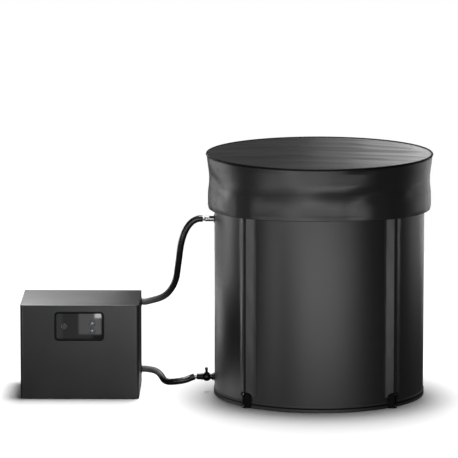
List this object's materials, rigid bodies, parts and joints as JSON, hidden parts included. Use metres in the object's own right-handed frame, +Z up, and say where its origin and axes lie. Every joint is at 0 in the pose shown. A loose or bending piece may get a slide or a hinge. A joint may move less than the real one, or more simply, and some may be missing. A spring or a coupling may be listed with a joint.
{
  "type": "ice bath tub with chiller",
  "caption": "Round padded fabric ice bath with a drape-over lid, joined by two hoses to a box chiller with a window and round buttons.",
  "frame": {"origin": "centre of the tub's underside, on the floor", "axes": "+Z up, +X from the chiller towards the tub, -Y the front with the buttons"},
  "size_m": [1.4683, 0.807, 0.8687],
  "materials": {
    "tub_fabric": "black coated fabric, fine weave, satin",
    "liner_fabric": "smooth coated liner fabric",
    "foam": "closed-cell foam",
    "lid_fabric": "satin coated fabric with soft wrinkles",
    "piping": "black covered cord",
    "ring_rubber": "coated air ring",
    "black_plastic": "moulded black plastic",
    "black_rubber": "black rubber",
    "stainless": "polished stainless steel",
    "pole_alloy": "drawn aluminium tube",
    "case_paint": "dark grey satin powder coat",
    "zinc_steel": "zinc plated sheet",
    "window_glass": "smoked glossy window",
    "button_plastic": "gloss black button with a lit ring",
    "board_green": "circuit board",
    "compressor_paint": "gloss black enamel",
    "fin_aluminium": "mill finish fins",
    "brazed_steel": "brazed stainless plates",
    "hose_rubber": "black reinforced hose, satin"
  },
  "bodies": {
    "tub_and_chiller": {"base_panel": "black_rubber", "floor_foam": "foam", "outer_wall": "tub_fabric", "wall_foam": "foam", "inner_liner": "liner_fabric", "bottom_hem": "tub_fabric", "air_ring": "ring_rubber", "air_valve": "black_plastic", "pole_1": "pole_alloy", "pole_sleeve_1": "tub_fabric", "pole_foot_1": "black_plastic", "pole_2": "pole_alloy", "pole_sleeve_2": "tub_fabric", "pole_foot_2": "black_plastic", "pole_3": "pole_alloy", "pole_sleeve_3": "tub_fabric", "pole_foot_3": "black_plastic", "pole_4": "pole_alloy", "pole_sleeve_4": "tub_fabric", "pole_foot_4": "black_plastic", "return_pipe": "stainless", "return_grommet": "black_rubber", "return_nut": "black_plastic", "valve_body": "black_plastic", "valve_grommet": "black_rubber", "valve_nut": "black_plastic", "hose_upper": "hose_rubber", "hose_lower": "hose_rubber", "foot_rail_front": "black_rubber", "foot_rail_rear": "black_rubber", "base_pan": "zinc_steel", "front_shell": "case_paint", "top_panel": "case_paint", "rear_panel": "case_paint", "power_inlet": "black_plastic", "port_upper": "black_plastic", "port_lower": "black_plastic", "display_frame": "black_plastic", "display_glass": "window_glass", "control_board": "board_green", "compressor": "compressor_paint", "condenser": "fin_aluminium", "fan_motor": "black_plastic", "heat_exchanger": "brazed_steel", "pump_body": "black_plastic", "pump_line": "hose_rubber", "return_line": "hose_rubber"},
    "lid": {"lid_panel": "lid_fabric", "lid_piping": "piping", "lid_foam": "foam", "lid_lining": "liner_fabric", "lid_skirt": "lid_fabric"},
    "power_key": {"power_button": "button_plastic"},
    "up_key": {"up_button": "button_plastic"},
    "down_key": {"down_button": "button_plastic"},
    "valve_turner": {"valve_ball": "stainless", "valve_handle": "black_plastic"},
    "fan_rotor": {"fan": "black_plastic"},
    "pump_rotor": {"pump_impeller": "black_plastic"},
    "air_cap": {"air_valve_cap": "black_plastic"}
  },
  "joints": [
    {"name": "lid_lift", "type": "slide", "parent": "tub_and_chiller", "child": "lid", "axis": [0, 0, 1], "range_m": [0, 0.3]},
    {"name": "power_press", "type": "slide", "parent": "tub_and_chiller", "child": "power_key", "axis": [0, 1, 0], "range_m": [0, 0.0015], "stiffness_N_per_m": 800},
    {"name": "up_press", "type": "slide", "parent": "tub_and_chiller", "child": "up_key", "axis": [0, 1, 0], "range_m": [0, 0.0015], "stiffness_N_per_m": 800},
    {"name": "down_press", "type": "slide", "parent": "tub_and_chiller", "child": "down_key", "axis": [0, 1, 0], "range_m": [0, 0.0015], "stiffness_N_per_m": 800},
    {"name": "valve_turn", "type": "hinge", "parent": "tub_and_chiller", "child": "valve_turner", "pos_m": [-0.403, 0, 0.055], "axis": [0, 0, 1], "range_deg": [0, 90]},
    {"name": "fan_spin", "type": "hinge", "parent": "tub_and_chiller", "child": "fan_rotor", "pos_m": [-0.95145, 0.13, 0.112], "axis": [0, 1, 0], "continuous": true},
    {"name": "pump_spin", "type": "hinge", "parent": "tub_and_chiller", "child": "pump_rotor", "pos_m": [-0.73545, 0.1, 0.063], "axis": [1, 0, 0], "continuous": true},
    {"name": "air_cap_pull", "type": "slide", "parent": "tub_and_chiller", "child": "air_cap", "axis": [0, -1, 0], "range_m": [0, 0.02]}
  ]
}
